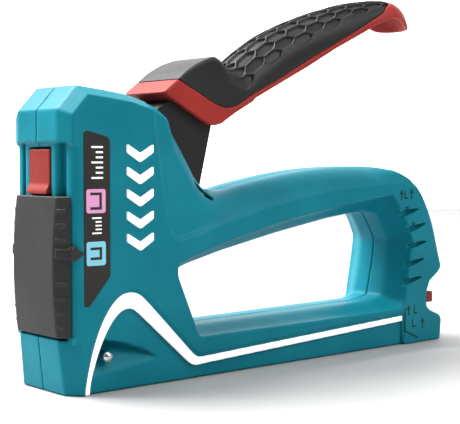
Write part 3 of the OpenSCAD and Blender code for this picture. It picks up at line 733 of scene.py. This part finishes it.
def slider(x, y, z):
    """Bowed front shield with two slanting, ribbed flanks; y is taken on both sides."""
    y = np.abs(y)
    front = -3.7 + 1.35 * ((z - SLIDER_MID) / 21.4) ** 2
    ex, ey = 0.35 - front, 3.85
    flank = (ey * (front - x) + ex * (y - 11.5)) / np.hypot(ex, ey)
    body = meet(front - x, flank, 0.35)
    body = meet(body, y - 15.5, 0.25)
    back = np.where(y > 12, x - 0.45, np.where(y > 9.7, x - 1.9, x + 1.1))
    body = meet(body, back, 0.15)
    along = (x - front) / np.maximum(-0.12 - front, 0.5)
    for i in (-4, -3, -2, -1, 1, 2, 3, 4):
        level = SLIDER_MID - 0.3 + 4.35 * i + (0.5 if i > 0 else 0.3)
        below = level - z
        rib = 0.42 * np.clip(1 - below / 1.5, 0, 1) * (below > 0) * ramp((along - 0.1) / 0.06)
        body = body - rib * ramp((0.86 - along) / 0.06) * (y > 11.6)
    body = meet(body, between(SLIDER_Z[0], z, SLIDER_Z[1]), 0.35)
    bar = both(arrow_edge(x, z), flank - 0.55, y - 16.9, 12.2 - y, -0.3 - x - 3 * ramp(-x))
    arrow = both(arrow_edge(x, z), between(HALF_W + 0.12, y, HALF_W + 0.62), -0.5 - x)
    return np.minimum(join(body, bar, 0.1), arrow)


def button(x, y, z):
    """Latch button with a thumb ramp on its lower third."""
    front = -1.05 - 1.25 * ramp((64.7 - z) / 3.4)
    body = meet(front - x, np.abs(y) - 5.85, 0.3)
    body = meet(body, between(60.9, z, 74.6), 0.5)
    return meet(body, x - 1.4, 0.2)


def thumb_catch(x, y, z):
    """Rear catch: a core between the shells, hollow for its spring, and a wide tab in the notch."""
    side = np.abs(y)
    core = meet(both(between(167.6, x, 172.8), between(10.3, z, 19.9)), side - 7.8, 0.3)
    core = cut(core, both(np.hypot(x - 170, y) - 1.9, z - 12.4), 0.1)
    tab = meet(both(between(169.4, x, 173.5), between(14.5, z, 18.8)), side - 12.8, 0.4)
    return join(core, tab, 0.3)


def make_thumb_catch():
    field_piece("thumb_catch", thumb_catch, (166.6, -13.6, 9.6), (174.4, 13.6, 20.8),
                0.3, "magazine_catch", RED_NYLON, ["rear_catch"])


def make_front_controls():
    step = 0.27
    field_piece("slider_shield", slider, (-4.6, -17.4, 17), (4.8, 17.4, 61), step, "selector",
                SLIDER, ["selector_slider"])
    field_piece("latch_button", button, (-3.2, -6.6, 60), (2.2, 6.6, 75.4), step, "catch",
                RED_NYLON, ["catch_button"])


# ---- lever ------------------------------------------------------------------

LEVER_TOP = [(38.4, 93.1)] + curve([(44.8, 97.9), (48.1, 100.5), (51.2, 102.3), (54.2, 103.8), (57.9, 105.2),
                                    (61, 106), (64.3, 105.4), (67.1, 104), (70.2, 103.1), (73, 104.1),
                                    (76.5, 106.8), (80.7, 109.8), (86.7, 113.8), (96.1, 118.5),
                                    (109, 123.7), (126.5, 129.2), (138, 131.9), (146, 133), (152.4, 133.1),
                                    (157, 132.4), (161, 130.9), (164.4, 128.6), (167, 126), (168.4, 122)], 5)
LEVER_BOTTOM = [(38.4, 93.1), (54.9, 84.5)] + curve([(57.4, 83.3), (60.2, 82.9), (63.1, 83.5)])
LEVER_BOTTOM += [(69.4, 87.3), (77.4, 91.4), (78.6, 92.6), (91.1, 98.6), (104.7, 105.1), (118.9, 112.4),
                 (133.8, 119.2), (140.7, 122.6)]
LEVER_BOTTOM += curve([(143.4, 123.6), (146.6, 124.7), (150, 125.7), (153, 126), (156, 125.6),
                       (159, 124.3), (162.5, 122.9), (168.6, 122.3)])
GRIP_EDGE = [(44.5, 97.6), (53, 93.6)] + curve([(58.4, 91), (61.6, 89.7), (65.5, 89), (69.4, 89.7),
                                                (72.6, 91.3)])
GRIP_EDGE += [(78, 94.3), (91.1, 100.5), (104.7, 107.6), (118.9, 114.4), (133.8, 121.8)]
GRIP_EDGE += curve([(138.4, 124.5), (142.2, 126.9), (144.6, 129.7), (146.2, 135)])
HEAD_HOLLOW = [(43.4, 80), (64, 80), (64, 83), (80, 90.6), (136, 117.6), (140, 121.4), (133, 120.2),
               (105, 106.3), (78, 93.1), (65.4, 87.8), (61, 88.7), (47.6, 95.2), (43.4, 93.4)]
LEVER_PLAN = [(38.3, 0), (38.3, 10.2), (39.8, 11.5)]
LEVER_PLAN += [(150 + 18.4 * math.cos(math.radians(a)), 11.5 * math.sin(math.radians(a)))
               for a in range(88, -1, -8)] + [(150 + 18.4, -20), (38.3, -20)]

lever_top = Outline(LEVER_TOP + [(168.4, 70), (38.4, 70)])
lever_bottom = Outline(LEVER_BOTTOM + [(190, 122), (190, 160), (20, 160), (20, 93.1)])
grip_zone = Outline(GRIP_EDGE + [(146.2, 160), (20, 160), (20, 97.6)])
head_hollow = Outline(HEAD_HOLLOW)
lever_plan = Outline(LEVER_PLAN)
TOP_LINE = np.array([p for p in LEVER_TOP if p[0] < 168])
TOP_SLOPE = np.gradient(TOP_LINE[:, 1], TOP_LINE[:, 0])
TOP_LENGTH = np.append(0, np.cumsum(np.hypot(*np.diff(TOP_LINE, axis=0).T)))

CELL_PITCH = 8.7
CELL_WIDE = 4.3
CELL_PHASE = 77.6


def crown_radius(x):
    """Rounding of the lever's upper edges: crisp on the head, a full round along the grip."""
    return 0.9 + 9.4 * ramp((x - 56) / 20) - 3.4 * ramp((x - 138) / 16)


def lever_body(x, y, z):
    """The whole lever's outer form, the red frame and the black grip together."""
    y = np.abs(y)
    crown = meet(lever_top(x, z), lever_plan(x, y), crown_radius(x))
    return meet(crown, lever_bottom(x, z), 0.5)


def grip_limit(x, y, z):
    """Negative where the lever is grip, positive where it is frame."""
    bow = 11.5 * (1 - (np.minimum(np.abs(y), 11.4) / 11.4) ** 2) * ramp((x - 133) / 12)
    return grip_zone(x - bow, z)


def lever_frame(x, y, z):
    body = meet(lever_body(x, y, z), 0.07 - grip_limit(x, y, z), 0.3)
    side = np.abs(y)
    body = cut(body, both(head_hollow(x, z), side - 9.1), 0.3)
    under = meet(lever_top(x, z) + 1.9, lever_plan(x, side) + 1.7, crown_radius(x) - 1.6)
    under = both(under, 144.6 - x)
    body = cut(body, under, 0.8)
    lean = 157.0 + 0.14 * (z - 128)
    slot = meet(np.abs(x - lean) - 3.6 + 0.12 * side, side - 5.4, 1.6)
    return cut(body, slot, 0.5)


def cell_pockets(x, y, z):
    """Depth of the six-sided pockets at a point on the grip."""
    top = np.interp(x, TOP_LINE[:, 0], TOP_LINE[:, 1])
    slope = np.interp(x, TOP_LINE[:, 0], TOP_SLOPE)
    drop = (top - z) / np.sqrt(1 + slope**2)
    foot = x - slope * (top - z) / (1 + slope**2)
    r = crown_radius(x)
    flat = 11.5 - r
    turn = np.arctan2(np.maximum(np.abs(y) - flat, 0), np.maximum(r - drop, 0.01))
    t = np.minimum(np.abs(y), flat) + r * turn + np.maximum(drop - r, 0)
    s = np.interp(foot, TOP_LINE[:, 0], TOP_LENGTH)
    s = s - np.interp(CELL_PHASE, TOP_LINE[:, 0], TOP_LENGTH)
    squeeze = 1 - 0.24 * ramp((x - 108) / 28)
    t = t / squeeze * np.where(y < 0, -1, 1)
    best = np.full(np.broadcast(x, y, z).shape, -9.0)
    for odd in (0, 1):
        column = 2 * CELL_PITCH
        u = (s - odd * CELL_PITCH + CELL_PITCH) % column - CELL_PITCH
        first = 0.0 if odd else CELL_WIDE / 2
        v = (t - first + CELL_WIDE / 2) % CELL_WIDE - CELL_WIDE / 2
        row = np.abs(t - v)
        half_long, half_wide = CELL_PITCH * 2 / 3, CELL_WIDE / 2
        straight = half_wide - np.abs(v)
        slant = (half_long - np.abs(u) - np.abs(v) * half_long / half_wide / 2) * 0.6
        inside = np.minimum(straight, slant)
        best = np.maximum(best, np.where(row < 13.2, inside, -9.0))
    edge = ramp((s + 12) / 8) * ramp((TOP_LENGTH[-1] - 17 - s - CELL_PHASE + TOP_LINE[0, 0]) / 5)
    return 0.95 * ramp((best - 0.16) / 0.5) * edge


def lever_grip(x, y, z):
    body = meet(lever_body(x, y, z), grip_limit(x, y, z) + 0.07, 0.3)
    return body + cell_pockets(x, y, z) * ramp((body + 3) / 1.5)


def make_lever():
    """Frame and grip as two pieces that fill the lever's form between them."""
    low, high = (37.6, -12.2, 82), (169.4, 12.2, 134)
    field_piece("lever_shell", lever_frame, low, high, 0.45, "lever",
                RED, ["lever_frame"])
    field_piece("lever_cover", lever_grip, (43.6, -12.2, 88), (160, 12.2, 134),
                0.32, "lever", RUBBER, ["lever_grip"])


# ---- stage, lights and camera -----------------------------------------------

def stage_sheet(name, corners, material):
    """A flat sheet of paper for the floor or the backdrop."""
    mesh = bpy.data.meshes.new(name)
    mesh.from_pydata([tuple(c) for c in corners], [], [(0, 1, 2, 3)])
    mesh.materials.append(material)
    sheet = bpy.data.objects.new(name, mesh)
    bpy.context.scene.collection.objects.link(sheet)


def set_stage():
    """A pale floor, and a lit backdrop square to the camera's view."""
    size, z = 3.0, -0.0002
    material, tree, shader = new_material("floor_paper")
    tree.links.new(spread(tree, noise(tree, 30), 0.6, 0.7), shader.inputs["Roughness"])
    shader.inputs["Base Color"].default_value = (0.42, 0.42, 0.42, 1)
    stage_sheet("floor", [(-size, -size, z), (size, -size, z), (size, size, z), (-size, size, z)], material)
    across, along = Vector((0.7546, -0.6562, 0)) * 2.5, Vector((0.6562, 0.7546, 0)) * 1.3
    corners = [along + across * a + Vector((0, 0, b))
               for a, b in ((-1, -0.001), (1, -0.001), (1, 1.6), (-1, 1.6))]
    paper = new_material("backdrop_paper")[0]
    stage_sheet("backdrop", corners, glowing(paper, 1.0))


def add_light(name, place, target, size, power, colour=(1, 1, 1)):
    light = bpy.data.lights.new(name, "AREA")
    light.shape = "RECTANGLE"
    light.size, light.size_y = size
    light.energy = power
    light.color = colour
    lamp = bpy.data.objects.new(name, light)
    lamp.location = place
    lamp.rotation_euler = (Vector(target) - Vector(place)).to_track_quat("-Z", "Y").to_euler()
    bpy.context.scene.collection.objects.link(lamp)


def set_lights():
    """Soft studio light: a key from behind on the left, a large top light and a weak fill."""
    world = bpy.data.worlds.new("studio")
    world.use_nodes = True
    world.node_tree.nodes["Background"].inputs["Color"].default_value = (1, 1, 1, 1)
    world.node_tree.nodes["Background"].inputs["Strength"].default_value = 0.12
    bpy.context.scene.world = world
    bpy.context.scene.view_settings.view_transform = "Standard"
    add_light("key", (-0.42, 0.58, 0.95), (0, 0, 0.05), (0.7, 0.7), 40)
    add_light("top", (-0.1, 0.15, 1.25), (0, 0, 0.0), (1.4, 1.4), 15)
    add_light("fill", (0.4, -0.9, 0.8), (0.02, 0, 0.05), (0.7, 0.7), 8)


def set_camera():
    """The photograph's viewpoint: in front and to the left, a little below the cap."""
    azimuth, pitch = math.radians(48.98), math.radians(-2.6)
    camera = bpy.data.cameras.new("camera")
    camera.lens = 88.1
    camera.sensor_width = 36.0
    camera.clip_start = 0.02
    eye = bpy.data.objects.new("camera", camera)
    eye.location = ((-183.84 + NOSE_X) * 0.001, -0.2994, 0.071)
    look = Vector((math.cos(azimuth) * math.cos(pitch), math.sin(azimuth) * math.cos(pitch), math.sin(pitch)))
    eye.rotation_euler = look.to_track_quat("-Z", "Y").to_euler()
    bpy.context.scene.collection.objects.link(eye)
    bpy.context.scene.camera = eye


set_camera()
set_stage()
set_lights()
dress_cad_nodes()
make_shells()
make_stripes()
make_labels()
make_badges()
make_pictograms()
make_front_controls()
make_thumb_catch()
make_lever()
